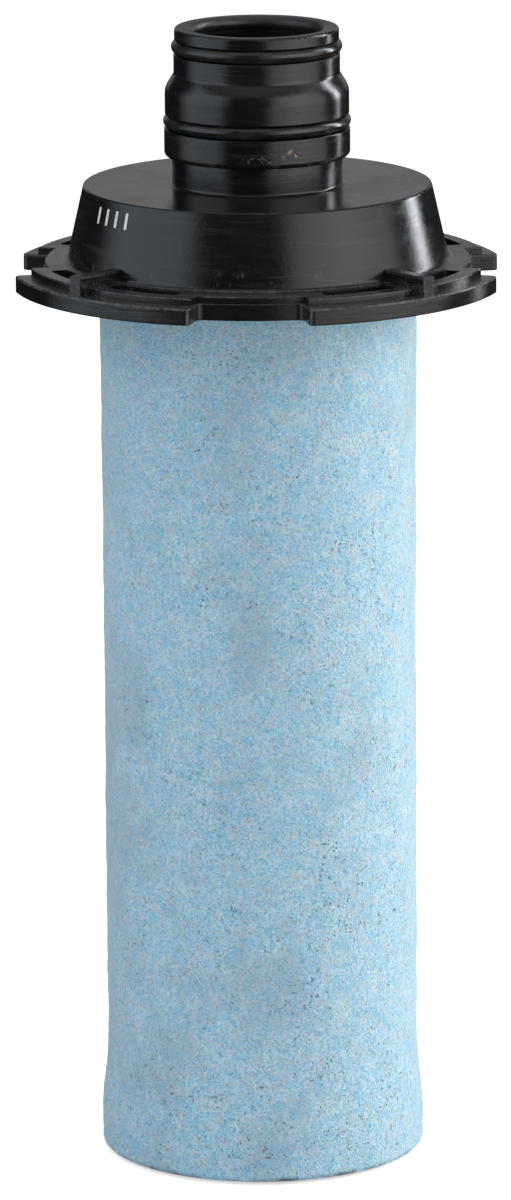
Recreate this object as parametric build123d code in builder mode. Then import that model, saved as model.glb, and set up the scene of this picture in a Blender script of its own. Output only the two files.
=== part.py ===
"""Filter and silencer cartridge for compressed air.

A black moulded top cap with an O-ring spigot and a four-lug bayonet flange, a
pleated filter pack between two perforated support tubes, resin at both ends, a
moulded bottom cap, and a foam drain sleeve pulled over the whole pack.

Frame: origin at the bottom centre, +Z up along the cartridge axis to the
spigot, a bayonet notch facing -Y. Millimetres.
"""
import math
import os

from build123d import *

os.makedirs("parts", exist_ok=True)

# ---------------------------------------------------------------- driving sizes
TOTAL_H = 267.7          # bottom face to the spigot's end

# spigot, from the hat's flat top upwards
HAT_TOP_Z = 231.1
BORE_R = 15.0
BORE_STEP_Z = 231.6      # below this the passage opens out a little
BORE_LOW_R = 15.5
BORE_LEAD = 1.6          # rounding of the mouth
NECK_R = 19.8
NECK_TOP_Z = 237.7
COLLAR_R = 21.6
COLLAR_TOP_Z = 244.4
LOW_GROOVE_TOP_Z = 247.55
BARREL_R = 21.4
BARREL_TOP_Z = 252.0
STEP_TOP_Z = 257.4       # the barrel draws in to the land along an S curve
LAND_R = 19.3
LAND_TOP_Z = 261.7
UP_GROOVE_TOP_Z = 264.9
NOSE_R = 19.1

# O-rings
RING_D = 3.0
LOW_RING_R = 20.3        # centre line radius
UP_RING_R = 18.35
RING_SEAT = 0.02         # working gap between ring and groove floor

# hat
HAT_TOP_R = 40.5
HAT_BASE_R = 44.5
HAT_WALL_TOP_Z = 227.8   # underside of the hat's top plate
WELL_MOUTH_R = 39.6      # potting well under the hat
WELL_TOP_R = 37.2
STUB_R = 16.9            # short stub that centres the core
STUB_Z = 220.0

# bayonet flange
FLANGE_Z = 207.9         # underside
LEDGE_Z = 211.8          # top of the outer ledge of each lug
RIM_Z = 213.45           # top of the raised rim and of the body ring
BODY_RING_R = 49.9
BODY_RING_TOP_R = 49.55  # above the ledge the ring is a little smaller
RIM_R = 53.7
LUG_R = 57.5
LUG_COUNT = 4
NOTCH_HALF = 13.8        # degrees, half of each notch between two lugs
LUG_CORNER_R = 1.2
NOTCH_ROOT_R = 1.6
POCKET_IN_R = 46.2       # blind coring pockets in the top of the flange
POCKET_OUT_R = 50.3
POCKET_DEPTH = 3.3
POCKET_FROM = 19.8       # degrees from the notch centre
POCKET_TO = 41.4
RIB_T = 3.3
RIB_TOP_Z = 216.5
RIB_END_R = 57.15
RIB_EDGE_R = 0.5         # rounding of the ribs' top edges

# sleeve
SLEEVE_TOP_Z = 216.0
SLEEVE_FOOT_Z = 0.1
SLEEVE_R_TOP = 37.0
SLEEVE_R_MID = 36.7
SLEEVE_R_LOW = 36.8
FLARE_R = 38.2
SLEEVE_IN_R = 33.1
SLEEVE_FOOT_R = 1.8      # rounding of the foot

# filter pack
CORE_IN_R = 17.0
CORE_OUT_R = 18.0
LINER_IN_R = 18.1
LINER_OUT_R = 19.1
PLEAT_IN_R = 19.5
PLEAT_OUT_R = 31.7
PLEAT_COUNT = 48
PLEAT_T = 0.9
SUPPORT_IN_R = 32.0
SUPPORT_OUT_R = 33.0
PACK_FOOT_Z = 8.0
PACK_TOP_Z = 222.8

# bottom cap
BASE_R = 35.1
BASE_T = 3.0
SKIRT_IN_R = 33.2
SKIRT_Z = 17.0
BOSS_Z = 7.0             # solid spigot that centres the core
FOOT_IN_R = 29.0
FOOT_RECESS = 0.8


def finish_piece(piece, name):
    """Label a finished piece and write its STEP file."""
    piece.part.label = name
    export_step(piece.part, f"parts/{name}.step")


# ---------------------------------------------------------------- top cap
lug_half = 360 / LUG_COUNT / 2 - NOTCH_HALF


def on_circle(r, deg):
    return (r * math.cos(math.radians(deg)), r * math.sin(math.radians(deg)))


with BuildPart() as top_cap:
    # flange plate: body ring and four lugs, with rounded lug corners
    with BuildSketch(Plane.XY.offset(FLANGE_Z)) as plate:
        Circle(BODY_RING_R)
        for k in range(LUG_COUNT):
            mid = 45 + k * 360 / LUG_COUNT
            with BuildLine():
                a = CenterArc((0, 0), LUG_R, mid - lug_half, 2 * lug_half)
                Line(a @ 1, on_circle(40, mid + lug_half))
                Line(on_circle(40, mid + lug_half), on_circle(40, mid - lug_half))
                Line(on_circle(40, mid - lug_half), a @ 0)
            make_face()
        outer = [v for v in plate.vertices() if abs(math.hypot(v.X, v.Y) - LUG_R) < 0.01]
        fillet(outer, LUG_CORNER_R)
        roots = [v for v in plate.vertices() if abs(math.hypot(v.X, v.Y) - BODY_RING_R) < 0.01]
        fillet(roots, NOTCH_ROOT_R)
    extrude(amount=LEDGE_Z - FLANGE_Z)
    # rounded upper edge of the ledge
    ledge_rim = top_cap.edges().filter_by_position(Axis.Z, LEDGE_Z - 0.01, LEDGE_Z + 0.01)
    fillet(ledge_rim, 0.35)
    foot_rim = top_cap.edges().filter_by_position(Axis.Z, FLANGE_Z - 0.01, FLANGE_Z + 0.01)
    fillet(foot_rim, 0.3)
    # body ring above the ledge
    with BuildSketch(Plane.XY.offset(LEDGE_Z - 0.6)):
        Circle(BODY_RING_TOP_R)
    extrude(amount=RIM_Z - LEDGE_Z + 0.6)
    # raised rim on each lug
    with BuildSketch(Plane.XY.offset(LEDGE_Z - 0.6)) as rim:
        for k in range(LUG_COUNT):
            mid = 45 + k * 360 / LUG_COUNT
            half = lug_half - 0.6
            with BuildLine():
                a = CenterArc((0, 0), RIM_R, mid - half, 2 * half)
                Line(a @ 1, on_circle(40, mid + half))
                Line(on_circle(40, mid + half), on_circle(40, mid - half))
                Line(on_circle(40, mid - half), a @ 0)
            make_face()
    extrude(amount=RIM_Z - LEDGE_Z + 0.6)
    rim_rim = top_cap.edges().filter_by_position(Axis.Z, RIM_Z - 0.01, RIM_Z + 0.01)
    fillet(rim_rim, 0.3)

    # hat and spigot, one turned profile
    with BuildSketch(Plane.XZ) as profile:
        with BuildLine():
            slope = (HAT_BASE_R - HAT_TOP_R) / (HAT_TOP_Z - RIM_Z)
            base_r = HAT_BASE_R + slope * 0.8
            Line((0, RIM_Z - 0.8), (base_r, RIM_Z - 0.8))
            Line((base_r, RIM_Z - 0.8), (HAT_TOP_R, HAT_TOP_Z))
            Line((HAT_TOP_R, HAT_TOP_Z), (NECK_R, HAT_TOP_Z))
            Line((NECK_R, HAT_TOP_Z), (NECK_R, NECK_TOP_Z))
            Line((NECK_R, NECK_TOP_Z), (COLLAR_R, NECK_TOP_Z))
            Line((COLLAR_R, NECK_TOP_Z), (COLLAR_R, COLLAR_TOP_Z))
            floor_low = LOW_RING_R - RING_D / 2 - RING_SEAT
            Line((COLLAR_R, COLLAR_TOP_Z), (floor_low, COLLAR_TOP_Z))
            Line((floor_low, COLLAR_TOP_Z), (floor_low, LOW_GROOVE_TOP_Z))
            Line((floor_low, LOW_GROOVE_TOP_Z), (BARREL_R, LOW_GROOVE_TOP_Z))
            Line((BARREL_R, LOW_GROOVE_TOP_Z), (BARREL_R, BARREL_TOP_Z))
            Spline(
                (BARREL_R, BARREL_TOP_Z),
                (21.22, 253.67),
                (20.82, 254.63),
                (20.23, 255.59),
                (19.65, 256.53),
                (LAND_R, STEP_TOP_Z),
                tangents=[(0, 1), (0, 1)],
            )
            Line((LAND_R, STEP_TOP_Z), (LAND_R, LAND_TOP_Z))
            floor_up = UP_RING_R - RING_D / 2 - RING_SEAT
            Line((LAND_R, LAND_TOP_Z), (floor_up, LAND_TOP_Z))
            Line((floor_up, LAND_TOP_Z), (floor_up, UP_GROOVE_TOP_Z))
            Line((floor_up, UP_GROOVE_TOP_Z), (NOSE_R, UP_GROOVE_TOP_Z))
            Line((NOSE_R, UP_GROOVE_TOP_Z), (NOSE_R, TOTAL_H))
            Line((NOSE_R, TOTAL_H), (0, TOTAL_H))
            Line((0, TOTAL_H), (0, RIM_Z - 0.8))
        make_face()

        def corner(r, z):
            return min(profile.vertices(), key=lambda v: (v.X - r) ** 2 + (v.Y - z) ** 2)

        fillet(corner(HAT_TOP_R, HAT_TOP_Z), 0.5)
        fillet(corner(NECK_R, HAT_TOP_Z), 0.7)
        fillet(corner(COLLAR_R, NECK_TOP_Z), 1.2)
        fillet(corner(COLLAR_R, COLLAR_TOP_Z), 0.3)
        fillet(corner(BARREL_R, LOW_GROOVE_TOP_Z), 0.35)
        fillet(corner(LAND_R, LAND_TOP_Z), 0.25)
        fillet(corner(NOSE_R, UP_GROOVE_TOP_Z), 0.25)
        fillet(corner(NOSE_R, TOTAL_H), 0.6)
    revolve(axis=Axis.Z)
    # concave radius where the hat meets the flange
    hat_root = [
        e
        for e in top_cap.edges().filter_by(GeomType.CIRCLE)
        if abs(e.radius - HAT_BASE_R) < 0.3 and abs(e.center().Z - RIM_Z) < 0.05
    ]
    fillet(hat_root, 1.5)

    # four radial ribs from the hat's wall to the lugs' outer edges
    for k in range(LUG_COUNT):
        mid = 45 + k * 360 / LUG_COUNT
        with BuildSketch(Plane.XY.offset(LEDGE_Z - 0.6)) as rib:
            with Locations(Rotation(0, 0, mid) * Location(((42.0 + RIB_END_R) / 2, 0, 0))):
                Rectangle(RIB_END_R - 42.0, RIB_T)
        extrude(amount=RIB_TOP_Z - LEDGE_Z + 0.6)
    # round the ribs' long top edges
    rib_tops = top_cap.edges().filter_by_position(Axis.Z, RIB_TOP_Z - 0.01, RIB_TOP_Z + 0.01)
    rib_tops = rib_tops.filter_by(GeomType.LINE)
    fillet(rib_tops, RIB_EDGE_R)

    # blind coring pockets, two in each lug
    with BuildSketch(Plane.XY.offset(RIM_Z)) as pockets:
        for k in range(LUG_COUNT):
            notch = k * 90
            for lo in (POCKET_FROM, 90 - POCKET_TO):
                span = POCKET_TO - POCKET_FROM
                with BuildLine():
                    o = CenterArc((0, 0), POCKET_OUT_R, notch + lo, span)
                    i = CenterArc((0, 0), POCKET_IN_R, notch + lo, span)
                    Line(o @ 0, i @ 0)
                    Line(o @ 1, i @ 1)
                make_face()
        fillet(pockets.vertices(), 0.8)
    extrude(amount=-POCKET_DEPTH, mode=Mode.SUBTRACT)

    # potting well under the hat, with the centring stub left standing, and bore
    with BuildSketch(Plane.XZ):
        with BuildLine():
            Polyline(
                (STUB_R, HAT_WALL_TOP_Z),
                (STUB_R, STUB_Z),
                (0, STUB_Z),
                (0, FLANGE_Z - 1),
                (WELL_MOUTH_R + 0.12, FLANGE_Z - 1),
                (WELL_TOP_R, HAT_WALL_TOP_Z),
                (STUB_R, HAT_WALL_TOP_Z),
            )
        make_face()
    revolve(axis=Axis.Z, mode=Mode.SUBTRACT)
    with BuildSketch(Plane.XZ):
        with BuildLine():
            Polyline(
                (BORE_R + BORE_LEAD, TOTAL_H),
                (BORE_R + BORE_LEAD, TOTAL_H + 1),
                (0, TOTAL_H + 1),
                (0, STUB_Z - 1),
                (BORE_LOW_R, STUB_Z - 1),
                (BORE_LOW_R, BORE_STEP_Z),
                (BORE_R, BORE_STEP_Z),
                (BORE_R, TOTAL_H - BORE_LEAD),
            )
            inset = BORE_LEAD * (1 - math.sqrt(0.5))
            ThreePointArc(
                (BORE_R, TOTAL_H - BORE_LEAD),
                (BORE_R + inset, TOTAL_H - inset),
                (BORE_R + BORE_LEAD, TOTAL_H),
            )
        make_face()
    revolve(axis=Axis.Z, mode=Mode.SUBTRACT)
finish_piece(top_cap, "top_cap")

# ---------------------------------------------------------------- O-rings
with BuildPart() as lower_o_ring:
    with BuildSketch(Plane.XZ):
        with Locations((LOW_RING_R, (COLLAR_TOP_Z + LOW_GROOVE_TOP_Z) / 2)):
            Circle(RING_D / 2)
    revolve(axis=Axis.Z)
finish_piece(lower_o_ring, "lower_o_ring")

with BuildPart() as upper_o_ring:
    with BuildSketch(Plane.XZ):
        with Locations((UP_RING_R, (LAND_TOP_Z + UP_GROOVE_TOP_Z) / 2)):
            Circle(RING_D / 2)
    revolve(axis=Axis.Z)
finish_piece(upper_o_ring, "upper_o_ring")

# ---------------------------------------------------------------- support tubes
with BuildPart() as inner_support:
    with BuildSketch(Plane.XY.offset(BASE_T)):
        Circle(CORE_OUT_R)
        Circle(CORE_IN_R, mode=Mode.SUBTRACT)
    extrude(amount=HAT_WALL_TOP_Z - 0.1 - BASE_T)
    # staggered round holes, in twelve columns
    for k in range(6):
        turn = Plane.XZ.rotated((0, 0, 30 * k + 8))
        with BuildSketch(turn):
            with GridLocations(0, 10.5, 1, 18):
                with Locations((0, (PACK_FOOT_Z + PACK_TOP_Z) / 2 + (5.25 if k % 2 else 0))):
                    Circle(3.0)
        extrude(amount=CORE_OUT_R + 2, both=True, mode=Mode.SUBTRACT)
finish_piece(inner_support, "inner_support")

with BuildPart() as outer_support:
    with BuildSketch(Plane.XY.offset(BASE_T)):
        Circle(SUPPORT_OUT_R)
        Circle(SUPPORT_IN_R, mode=Mode.SUBTRACT)
    extrude(amount=PACK_TOP_Z - BASE_T)
    for k in range(8):
        turn = Plane.XZ.rotated((0, 0, 22.5 * k + 5))
        with BuildSketch(turn):
            with GridLocations(0, 13.0, 1, 15):
                with Locations((0, (PACK_FOOT_Z + PACK_TOP_Z) / 2 + (6.5 if k % 2 else 0))):
                    Circle(4.5)
        extrude(amount=SUPPORT_OUT_R + 2, both=True, mode=Mode.SUBTRACT)
finish_piece(outer_support, "outer_support")

# ---------------------------------------------------------------- filter layers
with BuildPart() as inner_liner:
    with BuildSketch(Plane.XY.offset(PACK_FOOT_Z)):
        Circle(LINER_OUT_R)
        Circle(LINER_IN_R, mode=Mode.SUBTRACT)
    extrude(amount=PACK_TOP_Z - PACK_FOOT_Z)
finish_piece(inner_liner, "inner_liner")

with BuildPart() as pleated_media:
    with BuildSketch(Plane.XY.offset(PACK_FOOT_Z)):
        step = 360 / PLEAT_COUNT
        outer_pts = []
        inner_pts = []
        for k in range(PLEAT_COUNT):
            tip = k * step
            root = tip + step / 2
            half_tip = math.degrees(PLEAT_T * 0.75 / PLEAT_OUT_R)
            half_root = math.degrees(PLEAT_T * 0.75 / PLEAT_IN_R)
            outer_pts += [on_circle(PLEAT_OUT_R, tip - half_tip), on_circle(PLEAT_OUT_R, tip + half_tip)]
            outer_pts += [on_circle(PLEAT_IN_R + PLEAT_T, root - half_root * 0.35),
                          on_circle(PLEAT_IN_R + PLEAT_T, root + half_root * 0.35)]
            inner_pts += [on_circle(PLEAT_OUT_R - PLEAT_T, tip - half_tip * 0.35),
                          on_circle(PLEAT_OUT_R - PLEAT_T, tip + half_tip * 0.35)]
            inner_pts += [on_circle(PLEAT_IN_R, root - half_root), on_circle(PLEAT_IN_R, root + half_root)]
        with BuildLine():
            Polyline(*outer_pts, close=True)
        make_face()
        with BuildLine():
            Polyline(*inner_pts, close=True)
        make_face(mode=Mode.SUBTRACT)
    extrude(amount=PACK_TOP_Z - PACK_FOOT_Z)
finish_piece(pleated_media, "pleated_media")

# ---------------------------------------------------------------- resin
well_slope = (WELL_MOUTH_R - WELL_TOP_R) / (HAT_WALL_TOP_Z - FLANGE_Z)


def well_r(z):
    return WELL_MOUTH_R - well_slope * (z - FLANGE_Z)


with BuildPart() as top_potting:
    with BuildSketch(Plane.XZ):
        with BuildLine():
            Polyline(
                (CORE_OUT_R + 0.05, HAT_WALL_TOP_Z - 0.05),
                (CORE_OUT_R + 0.05, PACK_TOP_Z),
                (SUPPORT_OUT_R + 0.05, PACK_TOP_Z),
                (SUPPORT_OUT_R + 0.05, SLEEVE_TOP_Z),
                (SLEEVE_R_TOP + 0.2, SLEEVE_TOP_Z),
                (SLEEVE_R_TOP + 0.2, 211.0),
                (well_r(211.0) - 0.05, 211.0),
                (well_r(HAT_WALL_TOP_Z) - 0.05, HAT_WALL_TOP_Z - 0.05),
                (CORE_OUT_R + 0.05, HAT_WALL_TOP_Z - 0.05),
            )
        make_face()
    revolve(axis=Axis.Z)
finish_piece(top_potting, "top_potting")

with BuildPart() as bottom_potting:
    with BuildSketch(Plane.XY.offset(BASE_T)):
        Circle(SUPPORT_IN_R - 0.05)
        Circle(CORE_OUT_R + 0.05, mode=Mode.SUBTRACT)
    extrude(amount=PACK_FOOT_Z - BASE_T)
finish_piece(bottom_potting, "bottom_potting")

# ---------------------------------------------------------------- bottom cap
with BuildPart() as bottom_cap:
    with BuildSketch(Plane.XZ) as cup:
        with BuildLine():
            Polyline(
                (0, FOOT_RECESS),
                (FOOT_IN_R, FOOT_RECESS),
                (FOOT_IN_R + 0.6, 0),
                (BASE_R, 0),
                (BASE_R, SKIRT_Z),
                (SKIRT_IN_R, SKIRT_Z),
                (SKIRT_IN_R, BASE_T),
                (CORE_IN_R - 0.1, BASE_T),
                (CORE_IN_R - 0.1, BOSS_Z),
                (0, BOSS_Z),
                (0, FOOT_RECESS),
            )
        make_face()

        def cup_corner(r, z):
            return min(cup.vertices(), key=lambda v: (v.X - r) ** 2 + (v.Y - z) ** 2)

        fillet(cup_corner(BASE_R, 0), 1.2)
        fillet(cup_corner(BASE_R, SKIRT_Z), 0.8)
    revolve(axis=Axis.Z)
finish_piece(bottom_cap, "bottom_cap")

# ---------------------------------------------------------------- foam sleeve
with BuildPart() as foam_sleeve:
    with BuildSketch(Plane.XZ) as wall:
        with BuildLine():
            Polyline(
                (SLEEVE_R_TOP, SLEEVE_TOP_Z),
                (SLEEVE_IN_R, SLEEVE_TOP_Z),
                (SLEEVE_IN_R, SKIRT_Z + 2.5),
                (BASE_R + 0.1, SKIRT_Z + 0.2),
                (BASE_R + 0.1, SLEEVE_FOOT_Z),
                (FLARE_R - 0.2, SLEEVE_FOOT_Z),
            )
            Spline(
                (FLARE_R - 0.2, SLEEVE_FOOT_Z),
                (FLARE_R, 5.0),
                (FLARE_R - 0.15, 12.0),
                (SLEEVE_R_LOW + 0.35, 20.0),
                (SLEEVE_R_LOW, 32.0),
                (SLEEVE_R_MID, 110.0),
                (SLEEVE_R_TOP, SLEEVE_TOP_Z),
            )
        make_face()

        def wall_corner(r, z):
            return min(wall.vertices(), key=lambda v: (v.X - r) ** 2 + (v.Y - z) ** 2)

        fillet(wall_corner(FLARE_R - 0.2, SLEEVE_FOOT_Z), SLEEVE_FOOT_R)
    revolve(axis=Axis.Z)
finish_piece(foam_sleeve, "foam_sleeve")
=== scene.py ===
import math

import bmesh
import bpy
from mathutils import Euler, Matrix, Vector, noise


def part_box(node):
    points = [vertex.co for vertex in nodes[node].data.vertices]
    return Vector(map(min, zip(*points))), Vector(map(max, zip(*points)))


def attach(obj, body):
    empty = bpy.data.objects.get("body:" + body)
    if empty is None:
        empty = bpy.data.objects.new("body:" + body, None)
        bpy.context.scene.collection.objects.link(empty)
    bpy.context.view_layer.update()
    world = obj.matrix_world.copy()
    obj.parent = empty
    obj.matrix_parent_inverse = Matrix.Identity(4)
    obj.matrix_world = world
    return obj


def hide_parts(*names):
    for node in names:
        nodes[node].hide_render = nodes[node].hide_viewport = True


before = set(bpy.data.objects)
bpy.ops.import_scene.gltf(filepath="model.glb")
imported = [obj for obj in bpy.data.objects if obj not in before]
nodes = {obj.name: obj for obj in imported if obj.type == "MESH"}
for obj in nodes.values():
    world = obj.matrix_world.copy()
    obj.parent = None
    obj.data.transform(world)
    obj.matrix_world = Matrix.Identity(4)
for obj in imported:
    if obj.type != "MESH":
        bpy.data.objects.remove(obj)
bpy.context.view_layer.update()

MM = 0.001
scene = bpy.context.scene


# ------------------------------------------------------------------ helpers
def rad(deg):
    return math.radians(deg)


def material(name):
    mat = bpy.data.materials.new(name)
    mat.use_nodes = True
    nt = mat.node_tree
    nt.nodes.clear()
    out = nt.nodes.new("ShaderNodeOutputMaterial")
    bsdf = nt.nodes.new("ShaderNodeBsdfPrincipled")
    nt.links.new(bsdf.outputs["BSDF"], out.inputs["Surface"])
    return mat, nt, bsdf


class Nodes:
    """Short ways to write a node tree."""

    def __init__(self, nt):
        self.nt = nt

    def new(self, kind, **props):
        n = self.nt.nodes.new(kind)
        for k, v in props.items():
            setattr(n, k, v)
        return n

    def link(self, a, b):
        self.nt.links.new(a, b)

    def put(self, socket, value):
        if hasattr(value, "is_output"):
            self.link(value, socket)
        else:
            socket.default_value = value

    def coords(self):
        return self.new("ShaderNodeTexCoord").outputs["Object"]

    def mapping(self, vec, scale=(1, 1, 1), loc=(0, 0, 0)):
        n = self.new("ShaderNodeMapping")
        self.link(vec, n.inputs["Vector"])
        n.inputs["Scale"].default_value = scale
        n.inputs["Location"].default_value = loc
        return n.outputs["Vector"]

    def noise(self, vec, scale, detail=2.0, rough=0.5, distortion=0.0, colour=False):
        n = self.new("ShaderNodeTexNoise")
        self.link(vec, n.inputs["Vector"])
        n.inputs["Scale"].default_value = scale
        n.inputs["Detail"].default_value = detail
        n.inputs["Roughness"].default_value = rough
        n.inputs["Distortion"].default_value = distortion
        return n.outputs["Color" if colour else "Fac"]

    def voronoi(self, vec, scale, feature="F1", randomness=1.0, out="Distance"):
        n = self.new("ShaderNodeTexVoronoi", feature=feature)
        self.link(vec, n.inputs["Vector"])
        n.inputs["Scale"].default_value = scale
        n.inputs["Randomness"].default_value = randomness
        return n.outputs[out]

    def math(self, op, a, b=None, c=None, clamp=False):
        n = self.new("ShaderNodeMath", operation=op, use_clamp=clamp)
        self.put(n.inputs[0], a)
        if b is not None:
            self.put(n.inputs[1], b)
        if c is not None:
            self.put(n.inputs[2], c)
        return n.outputs[0]

    def remap(self, value, a, b, lo=0.0, hi=1.0, smooth=True):
        n = self.new("ShaderNodeMapRange")
        n.interpolation_type = "SMOOTHSTEP" if smooth else "LINEAR"
        self.put(n.inputs["Value"], value)
        n.inputs["From Min"].default_value = a
        n.inputs["From Max"].default_value = b
        n.inputs["To Min"].default_value = lo
        n.inputs["To Max"].default_value = hi
        return n.outputs["Result"]

    def mix(self, fac, a, b, blend="MIX"):
        n = self.new("ShaderNodeMix", data_type="RGBA", blend_type=blend)
        self.put(n.inputs[0], fac)
        self.put(n.inputs[6], a if hasattr(a, "is_output") else (*a, 1.0))
        self.put(n.inputs[7], b if hasattr(b, "is_output") else (*b, 1.0))
        return n.outputs[2]

    def bump(self, height, distance, strength=1.0, normal=None):
        n = self.new("ShaderNodeBump")
        self.link(height, n.inputs["Height"])
        n.inputs["Distance"].default_value = distance
        n.inputs["Strength"].default_value = strength
        if normal is not None:
            self.link(normal, n.inputs["Normal"])
        return n.outputs["Normal"]

    def xyz(self, vec):
        n = self.new("ShaderNodeSeparateXYZ")
        self.link(vec, n.inputs[0])
        return n.outputs[0], n.outputs[1], n.outputs[2]

    def band(self, value, lo, hi, soft):
        """1 between lo and hi, fading to 0 over soft on each side."""
        a = self.remap(value, lo - soft, lo)
        b = self.remap(value, hi, hi + soft, 1.0, 0.0)
        return self.math("MULTIPLY", a, b)


def assign(obj, mat):
    obj.data.materials.clear()
    obj.data.materials.append(mat)
    for p in obj.data.polygons:
        p.material_index = 0


# ------------------------------------------------------------------ materials
def cap_plastic(name, scuffed=True):
    """Black glass-filled moulded plastic: semi-gloss, fine turned streaks, worn edges with painted highlight lines
    along them.
    """
    mat, nt, bsdf = material(name)
    n = Nodes(nt)
    co = n.coords()
    x, y, z = n.xyz(co)
    r = n.math("SQRT", n.math("ADD", n.math("MULTIPLY", x, x), n.math("MULTIPLY", y, y)))

    grain = n.noise(co, 2400, 2, 0.6)
    cloud = n.noise(co, 55, 4, 0.55)
    fine = n.noise(co, 900, 3, 0.65)
    # streaks that run round the part, fine and broad
    streak = n.noise(n.mapping(co, (0.05, 0.05, 1.0)), 1500, 3, 0.6)
    streak2 = n.noise(n.mapping(co, (0.12, 0.12, 1.0), (0.3, 0.9, 0.2)), 480, 3, 0.6)
    streaks = n.math("ADD", n.math("MULTIPLY", streak, 0.55), n.math("MULTIPLY", streak2, 0.45))
    geo = n.new("ShaderNodeNewGeometry")
    nx, ny, nz = n.xyz(geo.outputs["Normal"])
    steep = n.remap(nz, 0.75, 0.35)
    colour = n.mix(n.remap(cloud, 0.35, 0.7), (0.0055, 0.0055, 0.0060), (0.0092, 0.0092, 0.0094))
    faint = n.math("MULTIPLY", n.math("MULTIPLY", n.remap(streaks, 0.50, 0.66), steep), 0.55)
    colour = n.mix(faint, colour, (0.0240, 0.0250, 0.0260))
    rough = n.remap(n.math("ADD", n.math("MULTIPLY", cloud, 0.35), n.math("ADD", n.math("MULTIPLY", streaks, 0.40), n.math("MULTIPLY", fine, 0.25))), 0.38, 0.64, 0.12, 0.26)
    if scuffed:
        up = n.remap(nz, 0.35, 0.95)
        scratch = n.noise(n.mapping(co, (1, 1, 0.5)), 420, 4, 0.7)
        chew = n.noise(co, 300, 5, 0.75)
        # pale dust that lies on the flange's ledges, rims and ribs
        on_flange = n.band(z, 0.2095, 0.2172, 0.0012)
        out_on_flange = n.math("MULTIPLY", on_flange, n.remap(r, 0.0440, 0.0475))
        dirt = n.noise(n.mapping(co, (1, 1, 1), (2.2, 0.7, 1.1)), 1700, 4, 0.75)
        drift = n.noise(co, 150, 3, 0.6)
        speck = n.remap(n.math("ADD", n.math("MULTIPLY", dirt, 0.75), n.math("MULTIPLY", drift, 0.25)), 0.44, 0.62)
        dust = n.math("MULTIPLY", out_on_flange, n.math("MULTIPLY", n.math("ADD", n.math("MULTIPLY", speck, 0.70), 0.30), n.math("ADD", n.math("MULTIPLY", up, 0.52), 0.05)))
        # pale lines along the edges of the ledge, the rim, the notches and the ribs: partly wear and dust, partly
        # painted highlight where the edges catch the light
        ax, ay = n.math("ABSOLUTE", x), n.math("ABSOLUTE", y)
        big, small = n.math("MAXIMUM", ax, ay), n.math("MINIMUM", ax, ay)
        from_side = n.math("ABSOLUTE", n.math("SUBTRACT", small, n.math("MULTIPLY", big, math.tan(rad(13.8)))))
        on_side = n.remap(from_side, 0.00022, 0.00010)
        high = n.remap(z, 0.21120, 0.21140)
        side_top = n.math("MULTIPLY", n.math("MULTIPLY", on_side, high), n.math("MULTIPLY", n.band(r, 0.0508, 0.0575, 0.0003), n.remap(z, 0.2122, 0.2120)))
        side_up = n.math("MULTIPLY", n.band(from_side, 0.00035, 0.00070, 0.00018), n.math("MULTIPLY", n.band(r, 0.0568, 0.0576, 0.0001), n.remap(z, 0.2122, 0.2120)))
        ledge = n.math("MULTIPLY", n.band(z, 0.21135, 0.21185, 0.00010), n.remap(r, 0.0568, 0.0571))
        rim = n.math("MULTIPLY", n.band(z, 0.21318, 0.21350, 0.00010), n.band(r, 0.05345, 0.0539, 0.00010))
        ring = n.math("MULTIPLY", n.band(z, 0.21318, 0.21350, 0.00010), n.math("MULTIPLY", n.band(r, 0.0493, 0.0498, 0.00008), n.remap(from_side, 0.0002, 0.0006)))
        across = n.math("ABSOLUTE", n.math("MULTIPLY", n.math("SUBTRACT", ax, ay), 0.70711))
        ribs = n.math("MULTIPLY", n.band(z, 0.21590, 0.2166, 0.00010), n.math("MULTIPLY", n.band(across, 0.00125, 0.0020, 0.00012), n.remap(r, 0.0440, 0.0452)))
        # painted highlight on the outer ends of the ribs
        rib_end = n.math("MULTIPLY", n.remap(r, 0.05690, 0.05705), n.math("MULTIPLY", n.band(across, 0.00135, 0.0020, 0.00010), n.remap(z, 0.2119, 0.2122)))
        rib_foot = n.math("MULTIPLY", n.band(across, 0.00160, 0.0050, 0.0020), n.math("MULTIPLY", n.band(z, 0.2110, 0.2143, 0.0006), n.math("MULTIPLY", n.remap(r, 0.0475, 0.0500), n.remap(dirt, 0.40, 0.62))))
        # painted highlight line along the fillet at the foot of the hat
        hat_foot = n.math("MULTIPLY", n.band(z, 0.21362, 0.21395, 0.00012), n.band(r, 0.0448, 0.0464, 0.0003))
        broken = n.remap(n.math("ADD", n.math("MULTIPLY", scratch, 0.5), n.math("MULTIPLY", dirt, 0.5)), 0.42, 0.60, 0.10, 1.0)
        wear_and_highlight_lines = n.math("MAXIMUM", n.math("MULTIPLY", ledge, 0.75), n.math("MAXIMUM", n.math("MULTIPLY", rim, 0.55), n.math("MULTIPLY", ring, 0.35)))
        wear_and_highlight_lines = n.math("MAXIMUM", wear_and_highlight_lines, n.math("MAXIMUM", n.math("MULTIPLY", side_top, 0.45), n.math("MULTIPLY", side_up, 0.55)))
        wear_and_highlight_lines = n.math("MAXIMUM", wear_and_highlight_lines, n.math("MAXIMUM", n.math("MULTIPLY", ribs, 0.30), n.math("MULTIPLY", rib_end, 0.40)))
        wear_and_highlight_lines = n.math("MAXIMUM", wear_and_highlight_lines, n.math("MAXIMUM", n.math("MULTIPLY", rib_foot, 0.60), n.math("MULTIPLY", hat_foot, 0.50)))
        wear_and_highlight_lines = n.math("MULTIPLY", wear_and_highlight_lines, broken)
        # scuffs round the foot of the hat
        foot = n.math("MULTIPLY", n.band(z, 0.2130, 0.2170, 0.0022), n.math("MULTIPLY", n.remap(r, 0.0475, 0.0462), n.remap(scratch, 0.57, 0.70)))
        # thin wear along the collar's rounded edge
        collar = n.math("MULTIPLY", n.band(z, 0.2377, 0.2388, 0.0005), n.remap(chew, 0.54, 0.66))
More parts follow.
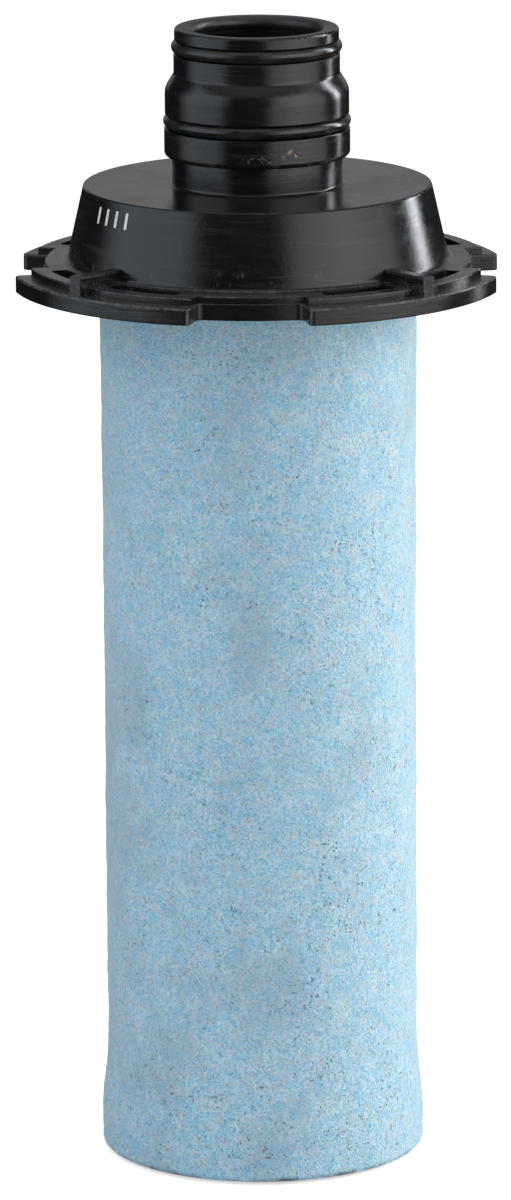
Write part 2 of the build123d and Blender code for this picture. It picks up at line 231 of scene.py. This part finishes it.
        # a patch of rubbing on the front of the collar
        patch = n.math("MULTIPLY", n.band(x, -0.0018, 0.0066, 0.0012), n.math("MULTIPLY", n.band(z, 0.23955, 0.24075, 0.0006), n.remap(y, -0.018, -0.020)))
        hooks = n.noise(n.mapping(co, (0.55, 0.55, 1.25), (0.4, 0.2, 0.7)), 520, 1, 0.5, 0.6)
        ridge = n.math("MULTIPLY", n.remap(n.math("ABSOLUTE", n.math("SUBTRACT", hooks, 0.5)), 0.040, 0.010), n.remap(dirt, 0.36, 0.50))
        rub = n.math("MULTIPLY", patch, ridge)
        # small light nicks here and there
        nick = n.math("MULTIPLY", n.remap(n.noise(n.mapping(co, (1, 1, 1.6), (5.1, 2.9, 3.3)), 780, 2, 0.5), 0.72, 0.78), n.remap(drift, 0.50, 0.62))
        wear_dust_and_highlight = n.math("MAXIMUM", n.math("MULTIPLY", dust, 0.62), n.math("MAXIMUM", n.math("MULTIPLY", foot, 0.34), n.math("MAXIMUM", n.math("MULTIPLY", collar, 0.26), n.math("MAXIMUM", n.math("MULTIPLY", rub, 0.75), n.math("MULTIPLY", nick, 0.28)))), clamp=True)
        # the painted edge highlights join the dust and wear here and lighten the colour with them
        wear_dust_and_highlight = n.math("MAXIMUM", wear_dust_and_highlight, n.math("MULTIPLY", wear_and_highlight_lines, 0.95), clamp=True)
        colour = n.mix(wear_dust_and_highlight, colour, (0.115, 0.118, 0.118))
        # the flat end and the rounded mouth of the spigot are rubbed dull
        end = n.math("MULTIPLY", n.remap(z, 0.2655, 0.2664), n.remap(r, 0.0188, 0.0184))
        colour = n.mix(n.math("MULTIPLY", end, n.math("ADD", 0.35, n.math("MULTIPLY", fine, 0.3))), colour, (0.036, 0.037, 0.038))
        # one pale chip in the collar, with a smaller one beside it
        ragged = n.math("MULTIPLY", n.math("SUBTRACT", n.noise(co, 640, 4, 0.7), 0.5), 0.0024)

        def spot(cx, cz, size, slant):
            dx = n.math("SUBTRACT", x, cx)
            dz = n.math("SUBTRACT", n.math("SUBTRACT", z, cz), n.math("MULTIPLY", dx, slant))
            d = n.math("SQRT", n.math("ADD", n.math("MULTIPLY", dx, dx), n.math("MULTIPLY", n.math("MULTIPLY", dz, dz), 2.2)))
            return n.math("MULTIPLY", n.remap(n.math("ADD", d, ragged), size * 1.2, size * 0.7), n.remap(y, -0.015, -0.017))

        chip = n.math("MAXIMUM", spot(0.0083, 0.2417, 0.00062, 0.5), n.math("MAXIMUM", spot(0.0093, 0.2409, 0.00042, -0.8), n.math("MULTIPLY", spot(0.0066, 0.2407, 0.00050, 0.0), 0.25)))
        colour = n.mix(chip, colour, (0.27, 0.205, 0.165))
        rough = n.math("ADD", rough, n.math("MULTIPLY", n.math("MAXIMUM", wear_dust_and_highlight, n.math("MAXIMUM", chip, n.math("MULTIPLY", end, 0.6))), 0.34), clamp=True)
    n.link(colour, bsdf.inputs["Base Color"])
    n.link(rough, bsdf.inputs["Roughness"])
    height = n.math("ADD", n.math("MULTIPLY", grain, 0.45), n.math("ADD", n.math("MULTIPLY", fine, 0.45), n.math("MULTIPLY", n.math("MULTIPLY", streaks, steep), 0.9)))
    n.link(n.bump(height, 0.00007, 0.75), bsdf.inputs["Normal"])
    bsdf.inputs["IOR"].default_value = 1.5
    return mat


def ring_rubber(name):
    """Black nitrile rubber, greased."""
    mat, nt, bsdf = material(name)
    n = Nodes(nt)
    co = n.coords()
    smear = n.noise(n.mapping(co, (1, 1, 2.5)), 160, 3, 0.55)
    fine = n.noise(co, 1800, 3, 0.6)
    colour = n.mix(n.remap(smear, 0.4, 0.65), (0.0095, 0.0095, 0.0090), (0.019, 0.019, 0.0175))
    lint = n.remap(n.noise(co, 750, 2, 0.5), 0.70, 0.76)
    colour = n.mix(n.math("MULTIPLY", lint, 0.5), colour, (0.10, 0.10, 0.095))
    n.link(colour, bsdf.inputs["Base Color"])
    n.link(n.remap(smear, 0.35, 0.7, 0.17, 0.34), bsdf.inputs["Roughness"])
    n.link(n.bump(fine, 0.00003, 0.5), bsdf.inputs["Normal"])
    bsdf.inputs["IOR"].default_value = 1.52
    return mat


def drain_foam(name):
    """Light blue needled foam: fine blue and pale fibres, grey drifts, tiny dark pores."""
    mat, nt, bsdf = material(name)
    n = Nodes(nt)
    co = n.coords()
    x, y, z = n.xyz(co)
    warp = n.noise(co, 300, 2, 0.5, colour=True)
    off = n.new("ShaderNodeVectorMath", operation="MULTIPLY_ADD")
    n.link(warp, off.inputs[0])
    off.inputs[1].default_value = (0.0014, 0.0014, 0.0014)
    n.link(co, off.inputs[2])
    wco = off.outputs[0]

    fine = n.noise(wco, 1750, 2, 0.6)
    fine2 = n.noise(n.mapping(wco, (1, 1, 1), (3.1, 1.7, 0.4)), 2300, 1, 0.5)
    fleck = n.noise(n.mapping(wco, (1, 1, 1), (5.7, 2.1, 1.4)), 760, 3, 0.62)
    fibre = n.noise(n.mapping(wco, (1, 1, 1), (1.3, 4.2, 2.2)), 1200, 3, 0.7)
    cloud = n.noise(co, 190, 4, 0.62)
    drift = n.noise(n.mapping(co, (1, 1, 0.7)), 48, 4, 0.6)
    broad = n.noise(n.mapping(co, (1, 1, 0.55), (0.7, 2.2, 3.1)), 17, 3, 0.55)

    blotch = n.noise(n.mapping(wco, (1, 1, 1), (4.4, 8.1, 0.9)), 440, 3, 0.62)
    base = n.mix(n.remap(cloud, 0.34, 0.66), (0.350, 0.610, 0.775), (0.465, 0.680, 0.805))
    blue = n.math("MULTIPLY", n.remap(fleck, 0.47, 0.63), 0.62)
    colour = n.mix(blue, base, (0.225, 0.495, 0.710))
    cyan = n.math("MULTIPLY", n.remap(blotch, 0.51, 0.62), 0.62)
    colour = n.mix(cyan, colour, (0.230, 0.560, 0.800))
    warm = n.math("MULTIPLY", n.remap(blotch, 0.47, 0.36), 0.52)
    colour = n.mix(warm, colour, (0.470, 0.555, 0.625))
    dark = n.math("MULTIPLY", n.remap(fine, 0.50, 0.66), 0.66)
    colour = n.mix(dark, colour, (0.150, 0.340, 0.500))
    pale = n.math("MULTIPLY", n.remap(fine2, 0.54, 0.70), 0.58)
    colour = n.mix(pale, colour, (0.690, 0.830, 0.900))
    rosy = n.math("MULTIPLY", n.remap(n.noise(n.mapping(co, (1, 1, 1), (7.7, 0.3, 5.1)), 640, 3, 0.6), 0.55, 0.68), 0.42)
    colour = n.mix(rosy, colour, (0.500, 0.545, 0.600))
    grey = n.math("MULTIPLY", n.math("MULTIPLY", n.remap(drift, 0.44, 0.64), n.remap(broad, 0.36, 0.60)), 0.42)
    colour = n.mix(grey, colour, (0.270, 0.375, 0.440))
    # small dark pores, in patches, more of them low down
    cell = n.voronoi(wco, 1350)
    low = n.remap(z, 0.200, 0.010, 0.0, 0.10, smooth=False)
    patchy = n.remap(n.math("ADD", n.noise(n.mapping(co, (1, 1, 1), (2.9, 6.1, 0.8)), 70, 4, 0.62), low), 0.48, 0.68)
    pick = n.remap(n.noise(n.mapping(co, (1, 1, 1), (0.2, 3.3, 9.1)), 620, 2, 0.6), 0.52, 0.64)
    pore = n.math("MULTIPLY", n.remap(cell, 0.46, 0.18), n.math("MULTIPLY", patchy, pick))
    colour = n.mix(n.math("MULTIPLY", pore, 0.78), colour, (0.075, 0.115, 0.150))
    # dark resin that shows along the foot of the sleeve in places
    foot = n.math("MULTIPLY", n.remap(n.math("ADD", z, n.math("MULTIPLY", n.noise(co, 2300, 3, 0.7), 0.0024)), 0.0033, 0.0019), n.remap(n.noise(n.mapping(co, (1, 1, 0.3)), 60, 5, 0.8), 0.42, 0.62))
    colour = n.mix(n.math("MULTIPLY", foot, 0.92), colour, (0.022, 0.022, 0.024))
    n.link(colour, bsdf.inputs["Base Color"])
    bsdf.inputs["Roughness"].default_value = 0.90
    bsdf.inputs["Specular IOR Level"].default_value = 0.25
    bsdf.inputs["Sheen Weight"].default_value = 0.42
    bsdf.inputs["Sheen Roughness"].default_value = 0.40
    bsdf.inputs["Sheen Tint"].default_value = (0.94, 0.97, 1.0, 1.0)
    height = n.math("ADD", n.math("MULTIPLY", fibre, 0.6), n.math("MULTIPLY", fine, -0.55))
    height = n.math("SUBTRACT", height, n.math("ADD", n.math("MULTIPLY", pore, 0.9), n.math("MULTIPLY", fleck, 0.3)))
    n.link(n.bump(height, 0.00060, 0.70), bsdf.inputs["Normal"])
    return mat


def support_steel(name):
    mat, nt, bsdf = material(name)
    n = Nodes(nt)
    co = n.coords()
    line = n.noise(n.mapping(co, (1, 1, 0.05)), 900, 3, 0.6)
    cloud = n.noise(co, 60, 3, 0.5)
    n.link(n.mix(n.remap(cloud, 0.35, 0.7), (0.52, 0.53, 0.54), (0.64, 0.64, 0.63)), bsdf.inputs["Base Color"])
    n.link(n.remap(line, 0.35, 0.65, 0.26, 0.42), bsdf.inputs["Roughness"])
    n.link(n.bump(line, 0.00002, 0.5), bsdf.inputs["Normal"])
    bsdf.inputs["Metallic"].default_value = 1.0
    return mat


def fibre_cloth(name, light, dark, scale):
    mat, nt, bsdf = material(name)
    n = Nodes(nt)
    co = n.coords()
    f = n.noise(co, scale, 4, 0.7)
    cloud = n.noise(co, 70, 3, 0.5)
    mixed = n.mix(n.remap(f, 0.38, 0.64), dark, light)
    n.link(n.mix(n.math("MULTIPLY", n.remap(cloud, 0.45, 0.7), 0.25), mixed, dark), bsdf.inputs["Base Color"])
    bsdf.inputs["Roughness"].default_value = 0.9
    bsdf.inputs["Sheen Weight"].default_value = 0.2
    n.link(n.bump(f, 0.0002, 0.6), bsdf.inputs["Normal"])
    return mat


def cast_resin(name):
    mat, nt, bsdf = material(name)
    n = Nodes(nt)
    co = n.coords()
    wave = n.noise(co, 130, 3, 0.5)
    bubble = n.voronoi(co, 420)
    n.link(n.mix(n.remap(wave, 0.35, 0.7), (0.040, 0.040, 0.044), (0.072, 0.071, 0.074)), bsdf.inputs["Base Color"])
    n.link(n.remap(wave, 0.3, 0.7, 0.22, 0.40), bsdf.inputs["Roughness"])
    h = n.math("SUBTRACT", wave, n.math("MULTIPLY", n.remap(bubble, 0.22, 0.12), 0.6))
    n.link(n.bump(h, 0.00018, 0.6), bsdf.inputs["Normal"])
    return mat


def ink(name):
    """White pad-printed ink, thin in places."""
    mat, nt, bsdf = material(name)
    n = Nodes(nt)
    co = n.coords()
    f = n.noise(co, 1900, 3, 0.6)
    n.link(n.mix(n.remap(f, 0.55, 0.72), (0.74, 0.75, 0.75), (0.28, 0.28, 0.28)), bsdf.inputs["Base Color"])
    bsdf.inputs["Roughness"].default_value = 0.55
    n.link(n.bump(f, 0.00003, 0.5), bsdf.inputs["Normal"])
    return mat


cap_mat = cap_plastic("moulded_black_plastic")
base_mat = cap_plastic("moulded_black_plastic_plain", scuffed=False)
steel_mat = support_steel("perforated_steel")
assign(nodes["top_cap"], cap_mat)
assign(nodes["bottom_cap"], base_mat)
rubber = ring_rubber("black_rubber")
assign(nodes["upper_o_ring"], rubber)
assign(nodes["lower_o_ring"], rubber)
assign(nodes["inner_support"], steel_mat)
assign(nodes["outer_support"], steel_mat)
assign(nodes["inner_liner"], fibre_cloth("white_liner", (0.86, 0.86, 0.84), (0.70, 0.70, 0.67), 900))
assign(nodes["pleated_media"], fibre_cloth("filter_paper", (0.88, 0.87, 0.84), (0.74, 0.73, 0.69), 1300))
resin_mat = cast_resin("dark_resin")
assign(nodes["top_potting"], resin_mat)
assign(nodes["bottom_potting"], resin_mat)


# ------------------------------------------------------------------ foam sleeve
SLEEVE_LO, SLEEVE_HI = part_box("foam_sleeve")
FOOT_Z = SLEEVE_LO.z
HEAD_Z = SLEEVE_HI.z


def catmull(points, t):
    """Value of a smooth curve through (z, r) points at height t."""
    n = len(points)
    if t <= points[0][0]:
        return points[0][1]
    if t >= points[-1][0]:
        return points[-1][1]
    for i in range(n - 1):
        z0, r0 = points[i]
        z1, r1 = points[i + 1]
        if z0 <= t <= z1:
            h = z1 - z0
            s = (t - z0) / h
            zm, rm = points[max(i - 1, 0)]
            zp, rp = points[min(i + 2, n - 1)]
            m0 = (r1 - rm) / (z1 - zm)
            m1 = (rp - r0) / (zp - z0)
            if i == 0:
                m0 = 0.0
            a = 2 * s ** 3 - 3 * s ** 2 + 1
            b = s ** 3 - 2 * s ** 2 + s
            c = -2 * s ** 3 + 3 * s ** 2
            d = s ** 3 - s ** 2
            return a * r0 + b * h * m0 + c * r1 + d * h * m1
    return points[-1][1]


SIDE = [
    (0.0019, 0.03800), (0.0070, 0.03818), (0.0120, 0.03800), (0.0180, 0.03738),
    (0.0240, 0.03696), (0.0340, 0.03680), (0.0700, 0.03672), (0.1200, 0.03668),
    (0.1700, 0.03678), (0.2000, 0.03692), (0.2160, 0.03695),
]


def build_sleeve():
    around = 256
    step = 0.00092
    rows = []  # (radius, z, how much the surface may move)
    # inner wall, from the top down
    for z in (HEAD_Z, 0.19, 0.13, 0.07, 0.0215):
        rows.append((0.0332, z, 0.0))
    rows.append((0.0345, 0.0180, 0.0))
    rows.append((0.0353, 0.0160, 0.0))
    rows.append((0.0353, 0.0060, 0.0))
    rows.append((0.0353, 0.0020, 0.0))
    # rounded foot
    cx, cz, rr = 0.03630, 0.0019, 0.0018
    for k in range(9):
        a = rad(-90 + 90 * k / 8)
        rows.append((cx + rr * math.cos(a), cz + (cz - FOOT_Z - 0.00015) * math.sin(a), 0.45 if k else 0.2))
    # outer face
    z = cz + step
    while z < HEAD_Z - step * 0.5:
        rows.append((catmull(SIDE, z), z, 1.0 if z < 0.2085 else 0.35))
        z += step
    rows.append((catmull(SIDE, HEAD_Z) - 0.0002, HEAD_Z, 0.0))

    verts, faces = [], []
    for r, z, move in rows:
        for k in range(around):
            a = 2 * math.pi * k / around
            ca, sa = math.cos(a), math.sin(a)
            rr = r
            if move:
                p = Vector((r * ca, r * sa, z))
                wide = noise.noise(p * 34.0 + Vector((3.1, 7.7, 0.4))) * 0.00022
                soft = noise.noise(p * 130.0 + Vector((9.2, 1.1, 4.7))) * 0.00016
                tuft = noise.noise(p * 420.0) * 0.00014
                pit = noise.noise(p * 700.0 + Vector((5.5, 2.3, 8.1)))
                pit = -0.00016 * max(0.0, pit - 0.28) / 0.4
                rr = r + move * (wide + soft + tuft + pit)
            verts.append((rr * ca, rr * sa, z))
    m = len(rows)
    for j in range(m):
        j2 = (j + 1) % m
        for k in range(around):
            k2 = (k + 1) % around
            faces.append((j * around + k, j * around + k2, j2 * around + k2, j2 * around + k))
    mesh = bpy.data.meshes.new("foam_sleeve_skin")
    mesh.from_pydata(verts, [], faces)
    mesh.validate()
    bm = bmesh.new()
    bm.from_mesh(mesh)
    bmesh.ops.recalc_face_normals(bm, faces=bm.faces)
    bm.to_mesh(mesh)
    bm.free()
    mesh.shade_smooth()
    obj = bpy.data.objects.new("foam_sleeve_skin", mesh)
    scene.collection.objects.link(obj)
    return obj


sleeve = build_sleeve()
assign(sleeve, drain_foam("blue_foam"))
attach(sleeve, "root")
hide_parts("foam_sleeve")


# ------------------------------------------------------------------ ink marks
def build_marks():
    """Four plain printed strokes on the slope of the hat."""
    hat_top_z, hat_top_r, hat_base_z, hat_base_r = 0.2311, 0.0405, 0.21345, 0.0445

    def cone(az, z, lift):
        r = hat_top_r + (hat_base_r - hat_top_r) * (hat_top_z - z) / (hat_top_z - hat_base_z) + lift
        a = rad(az)
        return Vector((r * math.sin(a), -r * math.cos(a), z))

    bm = bmesh.new()
    for i, az in enumerate((-59.4, -54.4, -49.5, -44.6)):
        cols, wear_and_highlight_lines = 4, 12
        top, low = [], []
        for j in range(wear_and_highlight_lines + 1):
            t = j / wear_and_highlight_lines
            z = 0.2253 + t * 0.0038
            ends = 1.0 - 0.35 * (max(0.0, abs(t - 0.5) - 0.42) / 0.08) ** 2
            row_t, row_l = [], []
            for k in range(cols + 1):
                s = (k / cols - 0.5) * 1.15 * ends
                wob = noise.noise(Vector((i * 5.3, t * 9.0, k * 0.7))) * 0.07
                row_t.append(bm.verts.new(cone(az + s + wob, z, 0.00006)))
                row_l.append(bm.verts.new(cone(az + s + wob, z, 0.00001)))
            top.append(row_t)
            low.append(row_l)
        for j in range(wear_and_highlight_lines):
            for k in range(cols):
                bm.faces.new((top[j][k], top[j][k + 1], top[j + 1][k + 1], top[j + 1][k]))
                bm.faces.new((low[j][k], low[j + 1][k], low[j + 1][k + 1], low[j][k + 1]))
        rim_t = top[0] + [top[j][cols] for j in range(1, wear_and_highlight_lines + 1)] + top[wear_and_highlight_lines][-2::-1] + [top[j][0] for j in range(wear_and_highlight_lines - 1, 0, -1)]
        rim_l = low[0] + [low[j][cols] for j in range(1, wear_and_highlight_lines + 1)] + low[wear_and_highlight_lines][-2::-1] + [low[j][0] for j in range(wear_and_highlight_lines - 1, 0, -1)]
        for k in range(len(rim_t)):
            k2 = (k + 1) % len(rim_t)
            bm.faces.new((rim_t[k], rim_l[k], rim_l[k2], rim_t[k2]))
    bmesh.ops.recalc_face_normals(bm, faces=bm.faces)
    mesh = bpy.data.meshes.new("ink_marks")
    bm.to_mesh(mesh)
    bm.free()
    obj = bpy.data.objects.new("ink_marks", mesh)
    scene.collection.objects.link(obj)
    return obj


marks = build_marks()
assign(marks, ink("white_ink"))
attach(marks, "root")


# ------------------------------------------------------------------ floor
def build_floor():
    bm = bmesh.new()
    bmesh.ops.create_circle(bm, cap_ends=True, radius=7.0, segments=96)
    mesh = bpy.data.meshes.new("floor")
    bm.to_mesh(mesh)
    bm.free()
    obj = bpy.data.objects.new("floor", mesh)
    scene.collection.objects.link(obj)
    mat = bpy.data.materials.new("pale_floor")
    mat.use_nodes = True
    nt = mat.node_tree
    nt.nodes.clear()
    n = Nodes(nt)
    out = n.new("ShaderNodeOutputMaterial")
    path = n.new("ShaderNodeLightPath")
    pale = n.new("ShaderNodeBsdfDiffuse")
    tone = n.noise(n.coords(), 6, 3, 0.5)
    n.link(n.mix(tone, (0.84, 0.84, 0.84), (0.88, 0.88, 0.88)), pale.inputs["Color"])
    lift = n.new("ShaderNodeEmission")
    lift.inputs["Color"].default_value = (1, 1, 1, 1)
    n.link(n.math("MULTIPLY", path.outputs["Is Camera Ray"], 0.60), lift.inputs["Strength"])
    both = n.new("ShaderNodeAddShader")
    n.link(pale.outputs[0], both.inputs[0])
    n.link(lift.outputs[0], both.inputs[1])
    dim = n.new("ShaderNodeEmission")
    dim.inputs["Color"].default_value = (1, 1, 1, 1)
    dim.inputs["Strength"].default_value = 0.03
    pick = n.new("ShaderNodeMixShader")
    n.link(path.outputs["Is Glossy Ray"], pick.inputs[0])
    n.link(both.outputs[0], pick.inputs[1])
    n.link(dim.outputs[0], pick.inputs[2])
    clear = n.new("ShaderNodeBsdfTransparent")
    side = n.new("ShaderNodeMixShader")
    n.link(n.new("ShaderNodeNewGeometry").outputs["Backfacing"], side.inputs[0])
    dim = n.new("ShaderNodeMixShader")
    dark = n.new("ShaderNodeEmission")
    dark.inputs["Strength"].default_value = 0.0
    n.link(n.math("MULTIPLY", n.new("ShaderNodeLightPath").outputs["Is Glossy Ray"], 0.55), dim.inputs[0])
    n.link(pick.outputs[0], dim.inputs[1])
    n.link(dark.outputs[0], dim.inputs[2])
    n.link(dim.outputs[0], side.inputs[1])
    n.link(clear.outputs[0], side.inputs[2])
    n.link(side.outputs[0], out.inputs["Surface"])
    obj.data.materials.append(mat)
    obj.location.z = -0.0003


build_floor()


# ------------------------------------------------------------------ light
def panel(name, az, dist, z, width, height, radiance, colour=(1, 1, 1), diffuse=True, glossy=True, aim=0.14, tilt_to=None):
    """A softbox round the object. az is counted from the front (-Y) towards +X."""
    light = bpy.data.lights.new(name, "AREA")
    light.shape = "RECTANGLE"
    light.size = width
    light.size_y = height
    light.energy = radiance * math.pi * width * height
    light.color = colour
    obj = bpy.data.objects.new(name, light)
    scene.collection.objects.link(obj)
    a = rad(az)
    obj.location = (dist * math.sin(a), -dist * math.cos(a), z)
    target = Vector((0, 0, aim if tilt_to is None else tilt_to))
    obj.rotation_euler = (target - obj.location).to_track_quat("-Z", "Y").to_euler()
    obj.visible_camera = False
    obj.visible_diffuse = diffuse
    obj.visible_glossy = glossy
    return obj


CAM_AZ = 2.1
# light that falls on the matt surfaces
panel("key_right", 96 + CAM_AZ, 1.25, 0.45, 0.85, 1.30, 5.9, (1.0, 0.895, 0.795), glossy=False)
panel("fill_left", -62 + CAM_AZ, 1.05, 1.00, 1.10, 0.80, 1.35, (0.92, 0.98, 1.0), glossy=False)
panel("front_soft", 16, 1.45, 0.72, 0.80, 0.50, 1.05, (1, 1, 1), glossy=False)
panel("top_soft", 10, 0.25, 1.70, 1.60, 1.60, 0.95, (1, 1, 1), glossy=False, tilt_to=0.0)


def build_screen():
    """A curved studio screen that only the glossy surfaces mirror: a wide soft grey to
    each side, a dark gap in front and behind each of them, and one narrow bright strip."""
    bm = bmesh.new()
    low, high = [], []
    for k in range(121):
        a = rad(-112 + 236 * k / 120 + CAM_AZ)
        low.append(bm.verts.new((0.95 * math.sin(a), -0.95 * math.cos(a), -0.06)))
        high.append(bm.verts.new((0.95 * math.sin(a), -0.95 * math.cos(a), 1.05)))
    for k in range(120):
        bm.faces.new((low[k], low[k + 1], high[k + 1], high[k]))
    mesh = bpy.data.meshes.new("soft_screen")
    bm.to_mesh(mesh)
    bm.free()
    obj = bpy.data.objects.new("soft_screen", mesh)
    scene.collection.objects.link(obj)
    obj.visible_camera = False
    obj.visible_diffuse = False
    obj.visible_shadow = False
    obj.visible_transmission = False
    mat = bpy.data.materials.new("soft_screen")
    mat.use_nodes = True
    nt = mat.node_tree
    nt.nodes.clear()
    n = Nodes(nt)
    x, y, z = n.xyz(n.coords())
    az = n.math("MULTIPLY", n.math("ARCTAN2", x, n.math("MULTIPLY", y, -1.0)), 57.29578)
    az = n.math("SUBTRACT", az, CAM_AZ)

    def hump(lo, lo2, hi2, hi):
        return n.math("MULTIPLY", n.remap(az, lo, lo2), n.remap(az, hi2, hi, 1.0, 0.0))

    low = n.remap(z, 0.30, 0.06)
    lean = n.math("ADD", az, n.math("MULTIPLY", low, 5.0))
    left = n.math("MULTIPLY", n.math("MULTIPLY", n.remap(az, -118, -86), n.remap(lean, -50, -31, 1.0, 0.0)), 1.30)
    right = n.math("MULTIPLY", n.math("MULTIPLY", n.remap(lean, 11, 27), n.remap(az, 88, 99, 1.0, 0.0)), n.math("ADD", 1.36, n.math("MULTIPLY", hump(24, 52, 58, 88), 0.75)))
    level = n.math("SUBTRACT", 1.0, n.math("MULTIPLY", low, 0.14))
    left = n.math("MULTIPLY", left, level)
    right = n.math("MULTIPLY", right, level)
    at = n.math("ADD", az, n.math("MULTIPLY", low, -6.5))
    strip = n.math("MULTIPLY", n.remap(at, 111.5, 116.0), n.remap(at, 117.0, 127.0, 1.0, 0.0))
    rim = n.math("MULTIPLY", n.math("MULTIPLY", strip, n.remap(z, -0.005, 0.020)), n.math("SUBTRACT", 13.5, n.math("MULTIPLY", low, 9.0)))
    tone = n.mix(n.remap(az, -5, 5), (0.86, 0.97, 1.06), (0.99, 1.0, 1.0))
    tone = n.mix(n.remap(az, 104, 108), tone, (0.92, 0.955, 1.0))
    light = n.new("ShaderNodeEmission")
    n.link(tone, light.inputs["Color"])
    n.link(n.math("ADD", n.math("ADD", n.math("ADD", left, right), rim), 0.02), light.inputs["Strength"])
    out = n.new("ShaderNodeOutputMaterial")
    n.link(light.outputs[0], out.inputs["Surface"])
    mesh.materials.append(mat)


build_screen()

world = bpy.data.worlds.new("studio")
scene.world = world
world.use_nodes = True
wt = world.node_tree
wt.nodes.clear()
w = Nodes(wt)
w_out = w.new("ShaderNodeOutputWorld")
w_path = w.new("ShaderNodeLightPath")
w_dir = w.new("ShaderNodeTexCoord").outputs["Generated"]
wx, wy, wz = w.xyz(w_dir)
behind = w.remap(wy, 0.80, 0.95, 0.02, 0.34)
above = w.remap(wz, 0.55, 0.9, 0.0, 0.50)
gloss_level = w.math("MAXIMUM", behind, above)
level = w.mix(w_path.outputs["Is Glossy Ray"], (0.42, 0.43, 0.44), gloss_level)
level = w.mix(w_path.outputs["Is Camera Ray"], level, (1.0, 1.0, 1.0))
w_bg = w.new("ShaderNodeBackground")
w.link(level, w_bg.inputs["Color"])
w_bg.inputs["Strength"].default_value = 1.0
w.link(w_bg.outputs[0], w_out.inputs["Surface"])

scene.view_settings.view_transform = "Standard"
scene.view_settings.look = "None"
scene.view_settings.exposure = 0.0
scene.view_settings.gamma = 1.0

# ------------------------------------------------------------------ camera
PITCH = 12.88
ROLL = -0.36
DIST = 1.880
LENS = 240.0
AXIS_X = 260.0      # where the axis stands in the 511-wide frame at mid height
PX = DIST / 8000.0  # metres to one frame unit at the axis
cam = bpy.data.cameras.new("camera")
cam.lens = LENS
cam.sensor_width = 36.0
cam.clip_start = 0.05
cam.clip_end = 30.0
cam_obj = bpy.data.objects.new("camera", cam)
scene.collection.objects.link(cam_obj)
az, pitch = rad(CAM_AZ), rad(PITCH)
forward = Vector((-math.sin(az) * math.cos(pitch), math.cos(az) * math.cos(pitch), -math.sin(pitch)))
right = Vector((math.cos(az), math.sin(az), 0.0))
aim = Vector((0, 0, 0.1317)) - right * (AXIS_X - 255.5) * PX
rot = forward.to_track_quat("-Z", "Y").to_matrix()
rot = rot @ Euler((0, 0, rad(ROLL))).to_matrix()
cam_obj.matrix_world = Matrix.Translation(aim - forward * DIST) @ rot.to_4x4()
scene.camera = cam_obj

bpy.context.view_layer.update()
